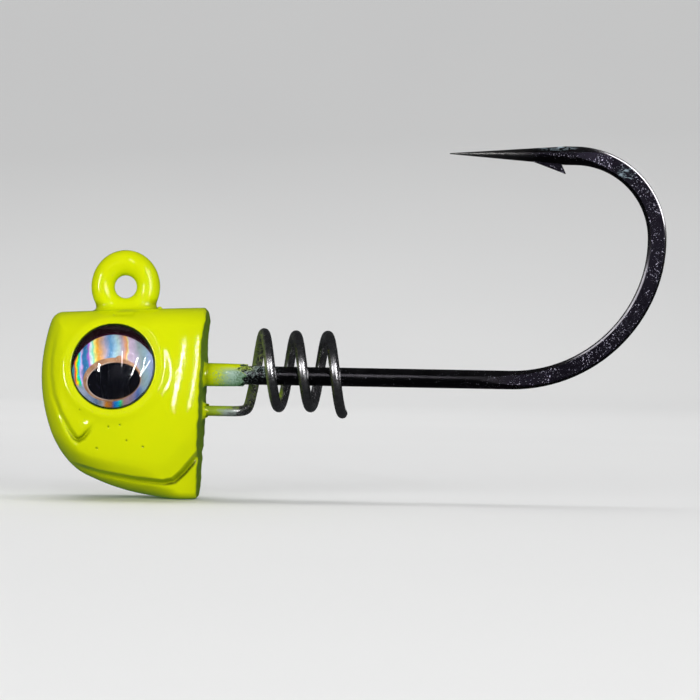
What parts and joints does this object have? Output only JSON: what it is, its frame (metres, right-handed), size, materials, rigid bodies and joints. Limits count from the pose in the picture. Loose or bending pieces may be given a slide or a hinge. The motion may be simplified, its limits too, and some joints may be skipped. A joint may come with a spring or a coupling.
{
  "type": "fishing jig head",
  "caption": "Painted lead jig head with domed eyes, a line-tie ring, a screw-in bait keeper coil and a wide-gap barbed hook.",
  "frame": {"origin": "centre of the line-tie ring", "axes": "+X along the hook shank from the head to the bend, +Z from the head up to the ring, +Y through the ring"},
  "size_m": [0.0595, 0.014, 0.0346],
  "materials": {
    "black_nickel": "dark glossy black nickel plating",
    "lead": "dull cast lead",
    "chartreuse_paint": "glossy fluorescent chartreuse powder coat",
    "keeper_steel": "bright drawn spring wire",
    "eye_adhesive": "white adhesive pad",
    "eye_film": "printed holographic silver film",
    "eye_lens": "clear glossy resin dome"
  },
  "bodies": {
    "root": {"hook": "black_nickel", "head_casting": "lead", "powder_coat": "chartreuse_paint", "bait_keeper_coil": "keeper_steel", "eye_adhesive_left": "eye_adhesive", "eye_adhesive_right": "eye_adhesive", "eye_film_left": "eye_film", "eye_film_right": "eye_film", "eye_lens_left": "eye_lens", "eye_lens_right": "eye_lens"}
  },
  "joints": []
}
